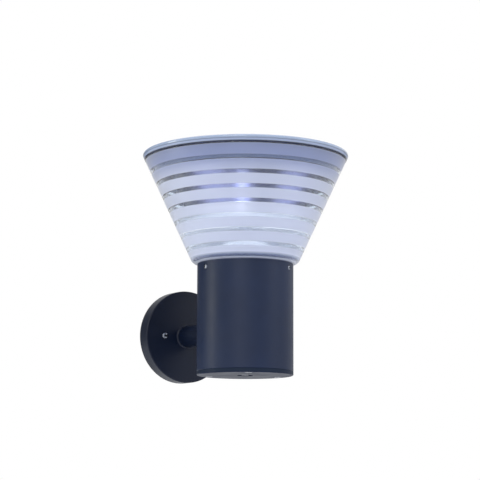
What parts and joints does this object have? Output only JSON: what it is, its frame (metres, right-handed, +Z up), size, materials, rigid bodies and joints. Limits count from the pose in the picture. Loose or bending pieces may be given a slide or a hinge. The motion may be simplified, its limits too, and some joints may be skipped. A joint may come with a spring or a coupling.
{
  "type": "solar fence light",
  "caption": "Wall light for a fence post: flared banded shade with a solar lid on a round body, held off a round wall plate by a straight arm.",
  "frame": {"origin": "centre of the round wall plate, on the wall's surface", "axes": "+Y into the wall, -Y out along the arm to the light, +Z up, +X to the right seen from the front"},
  "size_m": [0.2326, 0.2607, 0.251],
  "materials": {
    "powder_coat": "satin powder coat",
    "cap_coat": "satin powder coat",
    "cast_metal": "as cast",
    "zinc_steel": "zinc plated",
    "stainless": "bright stainless",
    "black_zinc": "black zinc plated",
    "button_steel": "turned stainless",
    "spring_steel": "drawn wire",
    "seal_rubber": "matte",
    "clear_seal": "clear silicone",
    "dark_seal": "matte",
    "shade_plastic": "clear moulded plastic with frosted bands",
    "clear_ring": "clear moulded plastic",
    "clear_cover": "polished clear sheet",
    "opal_plastic": "opal",
    "white_plastic": "glossy white",
    "white_board": "white solder mask",
    "led_yellow": "phosphor",
    "dark_plastic": "moulded dark grey",
    "tray_plastic": "moulded light grey",
    "black_plastic": "moulded black",
    "cell_wrap": "shrink sleeve",
    "green_board": "solder mask",
    "board_black": "moulded",
    "brass": "turned",
    "panel_sheet": "laminated back sheet",
    "silicon": "coated cells",
    "tinned_ribbon": "tinned",
    "lead_black": "sheathed",
    "lead_red": "sheathed"
  },
  "bodies": {
    "light": {"wall_gasket": "seal_rubber", "wall_bracket": "zinc_steel", "wall_plate": "powder_coat", "plate_screws": "black_zinc", "arm": "powder_coat", "arm_seal": "seal_rubber", "arm_stud": "zinc_steel", "stud_nuts": "zinc_steel", "stud_washers": "zinc_steel", "locating_pins": "zinc_steel", "body_tube": "powder_coat", "bottom_cap": "cap_coat", "cap_seal": "seal_rubber", "cap_screws": "black_zinc", "switch_barrel": "black_zinc", "switch_base": "black_plastic", "switch_seal": "seal_rubber", "switch_nut": "stainless", "button_spring": "spring_steel", "neck_ring": "cast_metal", "neck_screws": "black_zinc", "neck_seal": "clear_seal", "shade": "shade_plastic", "shade_clamp": "black_plastic", "clamp_screws": "stainless", "reflector": "white_plastic", "centre_tube": "zinc_steel", "tube_nuts": "zinc_steel", "led_cover": "opal_plastic", "led_board": "white_board", "led_chips": "led_yellow", "battery_housing": "dark_plastic", "battery_holder": "black_plastic", "battery_cells": "cell_wrap", "controller_board": "green_board", "board_parts": "board_black", "board_standoffs": "brass", "board_screws": "stainless", "panel_tray": "tray_plastic", "head_screws": "stainless", "head_seal": "dark_seal", "cover_ring": "clear_ring", "solar_panel": "panel_sheet", "solar_cells": "silicon", "cell_ribbons": "tinned_ribbon", "junction_box": "black_plastic", "top_cover": "clear_cover", "switch_lead": "lead_black", "led_lead": "lead_red", "battery_lead": "lead_red", "panel_lead": "lead_red"},
    "button": {"power_button": "button_steel"}
  },
  "joints": [
    {"name": "power_button_press", "type": "slide", "parent": "light", "child": "button", "axis": [0, 0, 1], "range_m": [0, 0.0014], "stiffness_N_per_m": 700, "springref_m": -0.0015, "deforming": ["button_spring"]}
  ]
}
